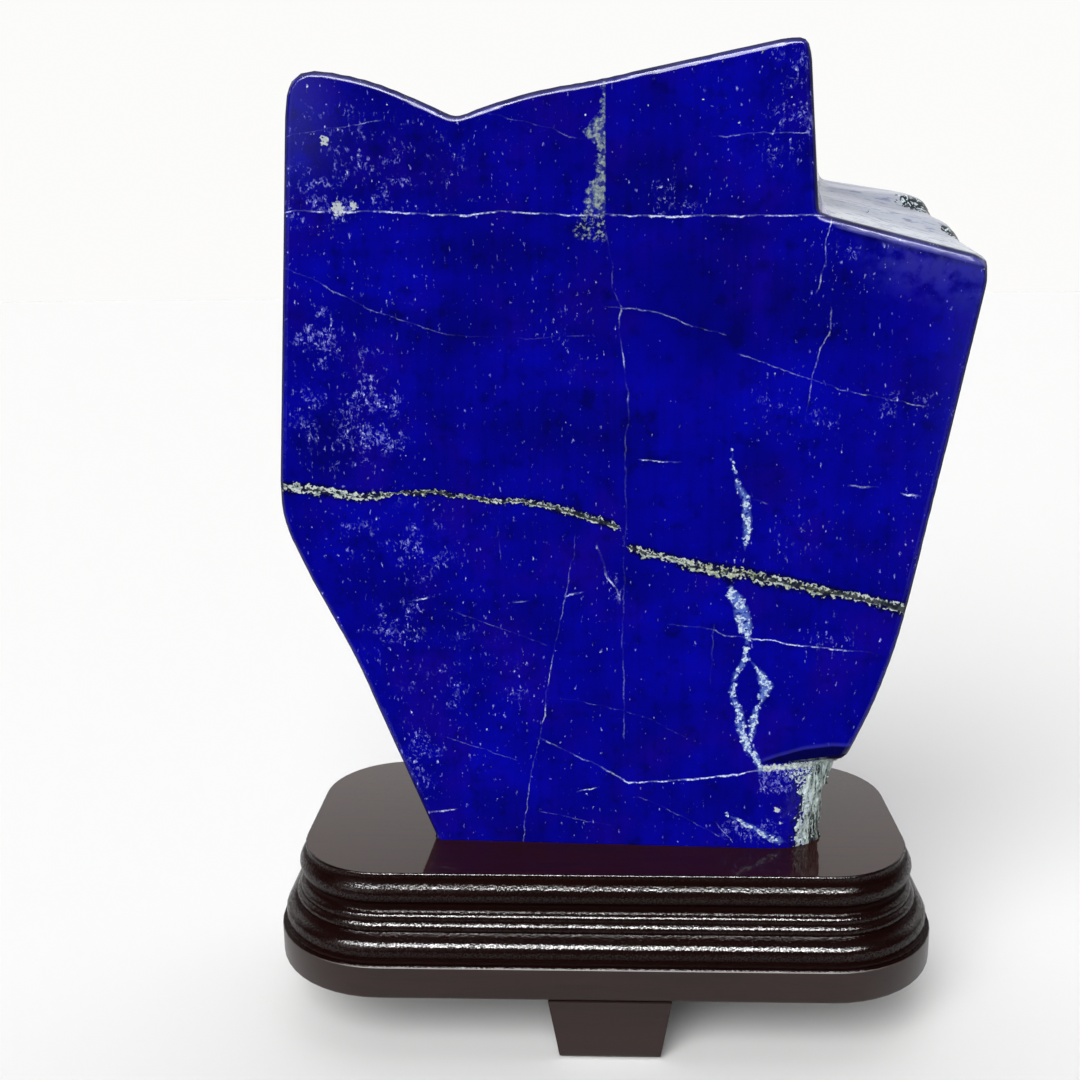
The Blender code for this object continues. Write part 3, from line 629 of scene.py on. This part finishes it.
        # Painted shade: the face's rounded edges turn near black where they face sideways or up.
        turned = g.math("MULTIPLY", g.ease(turned, 0.42, 0.80), bevel)
        colour = g.mix(g.math("MULTIPLY", turned, 0.85), colour, MIDNIGHT)
        below = g.math("MULTIPLY_ADD", self.x, -LEDGE_FALL, LEDGE_LINE)
        below = g.math("SUBTRACT", below, self.z)
        where = g.math("MULTIPLY", aside, g.ease(self.x, LEDGE_SIDE - 5.0, LEDGE_SIDE - 3.0))
        where = g.math("MULTIPLY", where, g.ease(self.y, 1.8, 3.4))
        where = g.math("MULTIPLY", where, g.ease(below, 1.5, 0.3))
        streaks = g.noise(g.stretch(self.place, 0.04, 1.5, 1.5), 0.5, 3.0, 0.7).outputs["Fac"]
        skin = g.mix(g.ease(self.y, 5.0, 34.0), RIND_PALE, RIND_GREY)
        skin = g.mix(g.ease(streaks, 0.35, 0.50), RIND_LILAC, skin)
        chipped = g.field(self.x, self.y, LEDGE_CHIPS)
        chips = g.ease(g.math("MULTIPLY_ADD", chipped, 0.45, self.lumps[0]), 0.70, 0.76)
        torn = g.math("MULTIPLY", g.ease(normal[0], 0.40, 0.60), g.ease(chipped, 0.10, 0.35))
        chips = g.math("MULTIPLY", g.math("MAXIMUM", chips, torn), g.ease(below, 5.0, 3.0))
        flint = g.mix(g.ease(self.width, 0.50, 0.60), CORE, FROST)
        flint = g.mix(g.ease(normal[0], 0.35, 0.55), flint, CORE)
        # Painted shade with a painted highlight: a dark band on the face just under the ledge's
        # arris, with a broken lavender line in it.
        front = g.math("MULTIPLY", g.ease(self.x, 62.0, 66.0), g.ease(self.y, 2.6, 1.6))
        front = g.math("MULTIPLY", front, g.ease(below, -1.0, 0.0))
        line = g.apart(below, 1.9)
        arris_highlight, dark = g.ease(line, 1.1, 0.5), g.ease(line, 2.6, 1.2)
        colour = g.mix(g.math("MULTIPLY", g.math("MULTIPLY", front, dark), 0.5), colour, MIDNIGHT)
        arris_highlight = g.math("MULTIPLY", arris_highlight, g.math("MULTIPLY", self.gaps, 0.6))
        colour = g.mix(g.math("MULTIPLY", front, arris_highlight), colour, LAVENDER)
        # Painted sheen: a faint lavender haze on the face below the ledge's arris. It fades
        # downwards and grows to the right.
        painted_sheen = g.math("MULTIPLY", g.ease(below, 20.0, 4.0), g.ease(self.x, 66.0, 84.0))
        painted_sheen = g.math("MULTIPLY", painted_sheen, g.ease(self.middle, 0.35, 0.60))
        colour = g.mix(g.math("MULTIPLY", painted_sheen, 0.12), colour, LAVENDER)
        colour = g.mix(g.math("MULTIPLY", where, 0.92), colour, skin)
        worn = g.math("MULTIPLY", soft, g.math("MULTIPLY_ADD", self.middle, 0.40, -0.02))
        return g.mix(chips, colour, flint), where, g.math("MULTIPLY_ADD", turned, 0.30, worn)

    def finish(self):
        """Join the layers, from the blue ground up."""
        g = self.g
        colour = self.flecks(self.base_colour())
        crust = self.crusty()
        steel = g.math("MULTIPLY", g.ease(crust, 0.10, 0.8), g.ease(self.lumps[0], 0.36, 0.54))
        colour = g.mix(g.math("MULTIPLY", steel, 0.85), colour, STEEL)
        border = g.math("MINIMUM", crust, g.math("MULTIPLY_ADD", crust, -0.45, 0.95))
        white = g.math("MULTIPLY_ADD", self.lumps[1], 2.6, border)
        white = g.math("MULTIPLY_ADD", self.crumb, 1.5, white)
        white = g.math("MULTIPLY", g.ease(white, 2.52, 2.72), g.ease(crust, 0.0, 0.2))
        tone = g.mix(g.ease(self.speck, 0.36, 0.56), LAVENDER, CALCITE)
        colour = g.mix(self.thin_lines(), colour, tone)
        colour = g.mix(white, colour, g.mix(g.ease(self.width, 0.40, 0.56), STEEL, FROST))
        colour, streak = self.streak(colour)
        colour, body = self.pyrite_layers(colour)
        colour, broken = self.neck(colour)
        colour, rind, worn = self.rind(colour, broken)
        g.plug(self.shader.inputs["Base Color"], colour)
        dull = g.math("MULTIPLY_ADD", broken, 0.45, g.math("MULTIPLY", body, 0.25))
        dull = g.math("MULTIPLY_ADD", rind, 0.30, dull)
        dull = g.math("ADD", dull, worn)
        dull = g.math("MULTIPLY_ADD", streak, 0.12, dull)
        g.plug(self.shader.inputs["Roughness"],
               g.math("MULTIPLY_ADD", self.patches, 0.04, g.math("ADD", dull, 0.06)))
        pits = g.noise(self.place, 0.9, 2.0, 0.6).outputs["Fac"]
        side = g.math("MULTIPLY", g.ease(self.x, NECK_SIDE, NECK_SIDE + 2.0),
                      g.ease(self.z, NECK_LINE, NECK_LINE - 1.0))
        height = g.math("MULTIPLY", side, pits)
        bump = g.add("Bump", {"Height": height, "Distance": MM, "Strength": 0.8})
        g.plug(self.shader.inputs["Normal"], bump.outputs[0])
        self.shader.inputs["IOR"].default_value = 1.30
        self.shader.inputs["Specular IOR Level"].default_value = 0.4
        return self.mat


def wanted_edge(place):
    """Longest mesh edge wanted at a place in stone space."""
    if place.y < FACE_BAND:
        return FACE_EDGE
    x, z = place.x / MM, place.z / MM
    if x > NECK_SIDE and z < NECK_LINE + NECK_MARGIN:
        return NECK_EDGE
    if x > LEDGE_SIDE and z > LEDGE_FINE_Z:
        return LEDGE_EDGE
    return SIDE_EDGE


def fine_stone():
    """Close-meshed copy of the stone: flat face kept, other surfaces worn and rounded."""
    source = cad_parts["lapis_stone"]
    bm = bmesh.new()
    bm.from_mesh(source.data)
    bmesh.ops.transform(bm, matrix=TO_STONE @ source.matrix_world, verts=bm.verts)
    bmesh.ops.remove_doubles(bm, verts=bm.verts, dist=WELD)
    for _ in range(SPLIT_ROUNDS):
        long_edges = [e for e in bm.edges
                      if e.calc_length() > wanted_edge((e.verts[0].co + e.verts[1].co) / 2)]
        if not long_edges:
            break
        bmesh.ops.subdivide_edges(bm, edges=long_edges, cuts=1)
        bmesh.ops.triangulate(bm, faces=[f for f in bm.faces if len(f.verts) > 3])
    free = [v for v in bm.verts if v.co.y > FACE_BAND and v.co.z > SEAT_Z]
    ledge = [v for v in free if v.co.x > LEDGE_SMOOTH_X * MM and v.co.z > LEDGE_SMOOTH_Z * MM]
    for count, verts in ((SMOOTH_ROUNDS, free), (LEDGE_ROUNDS, ledge)):
        for _ in range(count):
            bmesh.ops.smooth_vert(bm, verts=verts, factor=0.5, use_axis_x=True, use_axis_y=True,
                                  use_axis_z=True)
    bm.normal_update()
    wear(free)
    mesh = bpy.data.meshes.new("lapis_slab")
    bm.to_mesh(mesh)
    bm.free()
    mesh.shade_smooth()
    flat = Vector((0, -1, 0))
    normals = [flat if v.co.y < FACE_BAND else v.normal.copy() for v in mesh.vertices]
    mesh.normals_split_custom_set_from_vertices(normals)
    mesh.transform(FROM_STONE)
    slab = bpy.data.objects.new("lapis_slab", mesh)
    bpy.context.scene.collection.objects.link(slab)
    return slab


def share(value):
    """A value kept between 0 and 1."""
    return min(1.0, max(0.0, value))


def wear(verts):
    """Slight hand-polished waves all round, and rough fibres on the neck's broken side."""
    for v in verts:
        x, y, z = v.co / MM
        wave = sum(noise.noise(v.co * rate) * height for rate, height in WAVES)
        wave *= min(1.0, y / CALM_DEPTH)
        broken = share((x - NECK_SIDE) / NECK_FADE) * share(NECK_LINE - z)
        if broken:
            across, along = FIBRE_CELLS
            fibre = noise.noise(Vector((x * across, y * across, z * along)))
            chip = noise.noise(Vector((x * CHIP_CELLS, y * CHIP_CELLS, z * CHIP_CELLS)))
            wave += broken * (fibre * FIBRE_RISE + chip * CHIP_RISE - NECK_SINK)
        v.co += v.normal * wave * MM


# ---- wood --------------------------------------------------------------------
def lacquered_wood(name, warm, coat_roughness, peel, coat_ior, body_gloss, gloss=None):
    """Dark rosewood under lacquer; peel is how dimpled it is, gloss where it shines."""
    mat, g, shader = new_material(name)
    shader.inputs["Coat Weight"].default_value = 1.0
    place = g.in_mm(g.add("TexCoord").outputs["Object"])
    grain = g.noise(g.stretch(place, 0.05, 1.0, 1.0), 0.55, 4.0, 0.6, 0.4).outputs["Fac"]
    pores = g.noise(g.stretch(place, 0.12, 1.0, 1.0), 3.2, 2.0, 0.6).outputs["Fac"]
    figure = g.math("MULTIPLY_ADD", g.ease(grain, 0.32, 0.66), FIGURE, 1 - FIGURE)
    colour = g.mix(figure, WOOD_DARK, warm)
    colour = g.mix(g.math("MULTIPLY", g.ease(pores, 0.42, 0.30), FIGURE), colour, WOOD_DARK)
    g.plug(shader.inputs["Base Color"], colour)
    g.plug(shader.inputs["Roughness"], g.math("MULTIPLY_ADD", grain, 0.15, 0.40))
    if gloss:
        low, high = gloss[0][0], gloss[-1][0]
        height = g.add("SeparateXYZ", {"Vector": place}).outputs[2]
        height = g.math("MULTIPLY_ADD", height, 1 / (high - low), -low / (high - low))
        shine = g.curve(height, gloss, (low, high), (0.0, 1.0))
        sparkle = g.ease(g.noise(place, 2.0, 2.0, 0.7).outputs["Fac"], 0.40, 0.58)
        g.plug(shader.inputs["Coat Weight"],
               g.math("MULTIPLY", shine, g.math("MULTIPLY_ADD", sparkle, 0.75, 0.25)))
    dimples = g.noise(place, 1.5, 2.0, 0.6).outputs["Fac"]
    bump = g.add("Bump", {"Height": dimples, "Distance": MM, "Strength": peel})
    g.plug(shader.inputs["Coat Normal"], bump.outputs[0])
    shader.inputs["Specular IOR Level"].default_value = body_gloss
    shader.inputs["Coat IOR"].default_value = coat_ior
    shader.inputs["Coat Roughness"].default_value = coat_roughness
    return mat


def smooth_copy(node, name, materials):
    """Copy of a node with welded, smooth-shaded surfaces."""
    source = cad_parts[node]
    bm = bmesh.new()
    bm.from_mesh(source.data)
    bmesh.ops.transform(bm, matrix=source.matrix_world, verts=bm.verts)
    bmesh.ops.remove_doubles(bm, verts=bm.verts, dist=WELD)
    bmesh.ops.dissolve_limit(bm, angle_limit=SAME_PLANE, verts=bm.verts, edges=bm.edges)
    flat = {f for f in bm.faces if abs(f.normal.z) > LEVEL}
    for edge in bm.edges:
        edge.smooth = not (any(f in flat for f in edge.link_faces)
                           or edge.calc_face_angle(0) > SHARP_EDGE)
    mesh = bpy.data.meshes.new(name)
    bm.to_mesh(mesh)
    bm.free()
    for face in mesh.polygons:
        face.use_smooth = True
    for mat in materials:
        mesh.materials.append(mat)
    piece = bpy.data.objects.new(name, mesh)
    bpy.context.scene.collection.objects.link(piece)
    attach(piece, "root")
    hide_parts(node)
    return piece


def build_stand():
    """Plinth and feet, with a mirror-like top, dimpled beads and a satin band."""
    top = lacquered_wood("lacquer_top", TOP_WOOD, coat_roughness=0.05, peel=0.007,
                         coat_ior=1.20, body_gloss=0.02)
    beads = lacquered_wood("lacquer_beads", BEAD_WOOD, coat_roughness=0.12, peel=0.17,
                           coat_ior=1.42, body_gloss=0.0, gloss=MOULDING_GLOSS)
    band = lacquered_wood("lacquer_band", BAND_WOOD, coat_roughness=0.50, peel=0.03,
                          coat_ior=1.34, body_gloss=0.08)
    plinth = smooth_copy("stand_plinth", "stand_moulded", [top, beads, band])
    for face in plinth.data.polygons:
        if face.normal.z > LEVEL and face.center.z > FLAT_TOP_Z - TOP_BAND:
            face.material_index = 0
        else:
            face.material_index = 2 if face.center.z < BAND_TOP else 1
    for node in ("foot_front", "foot_back_left", "foot_back_right"):
        smooth_copy(node, node.replace("foot", "stand_foot"), [band])


# ---- stage -------------------------------------------------------------------
def build_floor():
    """Pale table top."""
    bm = bmesh.new()
    bmesh.ops.create_grid(bm, x_segments=1, y_segments=1, size=1.0)
    mesh = bpy.data.meshes.new("floor")
    bm.to_mesh(mesh)
    bm.free()
    floor = bpy.data.objects.new("floor", mesh)
    floor.scale = (TABLE_HALF, TABLE_HALF, 1)
    floor.location = (0, TABLE_HALF + TABLE_FRONT, -TABLE_DROP)
    mat, _, shader = new_material("pale_floor")
    shader.inputs["Base Color"].default_value = (TABLE_WHITE, TABLE_WHITE, TABLE_WHITE, 1)
    shader.inputs["Roughness"].default_value = 0.55
    shader.inputs["Specular IOR Level"].default_value = 0.0
    mesh.materials.append(mat)
    bpy.context.scene.collection.objects.link(floor)


def build_surroundings():
    """Bright behind the object, dark in front, with two pale patches that the polish mirrors."""
    world = bpy.data.worlds.new("studio")
    bpy.context.scene.world = world
    world.use_nodes = True
    g = Graph(world.node_tree)
    # The direction looked in: across to the right, along to the back, up.
    split = g.add("SeparateXYZ", {"Vector": g.add("TexCoord").outputs["Generated"]})
    across, along, up = split.outputs
    back = g.ease(along, 0.10, 0.55)
    low = g.math("MULTIPLY_ADD", g.ease(up, 0.75, 0.45), 1 - CEILING, CEILING)
    panel = g.math("MULTIPLY_ADD", g.ease(up, 0.20, 0.36), PANEL_LIGHT - WALL_LIGHT, WALL_LIGHT)
    wall = g.math("MULTIPLY", g.math("MULTIPLY", back, low), panel)
    front = g.ease(along, -0.4, -0.6)
    left = g.math("MULTIPLY", g.ease(across, -0.265, -0.30), g.ease(up, 0.03, 0.08))
    left = g.math("MULTIPLY", left, front)
    right = g.math("MULTIPLY", g.ease(across, 0.16, 0.21), g.ease(up, -0.02, -0.06))
    right = g.math("MULTIPLY", right, g.ease(up, -0.36, -0.28))
    right = g.math("MULTIPLY", right, front)
    room = g.math("MULTIPLY_ADD", g.math("MAXIMUM", left, g.math("MULTIPLY", right, 0.5)),
                  WINDOW_LIGHT, ROOM_LIGHT)
    background = world.node_tree.nodes["Background"]
    background.inputs["Color"].default_value = (1.0, 0.995, 0.985, 1)
    g.plug(background.inputs["Strength"], g.math("MAXIMUM", wall, room))


def build_lights():
    """Soft light from the front and from above, and a strip for the gloss."""
    for name, (energy, spread, place) in SUNS.items():
        sun = bpy.data.lights.new(name, "SUN")
        sun.energy = energy
        sun.angle = radians(spread)
        hang(sun, place).visible_glossy = False
    strip = bpy.data.lights.new("strip", "AREA")
    strip.shape = "RECTANGLE"
    strip.size, strip.size_y = STRIP_SIZE
    strip.energy = STRIP_ENERGY
    hang(strip, STRIP_AT).visible_diffuse = False


def hang(light, place):
    """Put a light at a place, aimed at the middle of the object."""
    lamp = bpy.data.objects.new(light.name, light)
    lamp.location = place
    aim = Vector((PLINTH_MID.x, PLINTH_MID.y, AIM_HEIGHT)) - lamp.location
    lamp.rotation_euler = aim.to_track_quat("-Z", "Y").to_euler()
    bpy.context.scene.collection.objects.link(lamp)
    return lamp


def build_camera():
    """Camera that sees the object as it was photographed."""
    data = bpy.data.cameras.new("camera")
    data.sensor_width = SENSOR
    data.lens = FOCAL
    data.clip_start = 0.01
    camera = bpy.data.objects.new("camera", data)
    turn = Matrix((CAMERA_RIGHT, CAMERA_UP, -CAMERA_AHEAD)).transposed()
    camera.matrix_world = Matrix.Translation(CAMERA_AT) @ turn.to_4x4()
    bpy.context.scene.collection.objects.link(camera)
    bpy.context.scene.camera = camera


def main():
    slab = fine_stone()
    slab.data.materials.append(Lapis().finish())
    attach(slab, "root")
    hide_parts("lapis_stone")
    build_stand()
    build_floor()
    build_surroundings()
    build_lights()
    build_camera()
    bpy.context.scene.view_settings.view_transform = "Standard"


main()
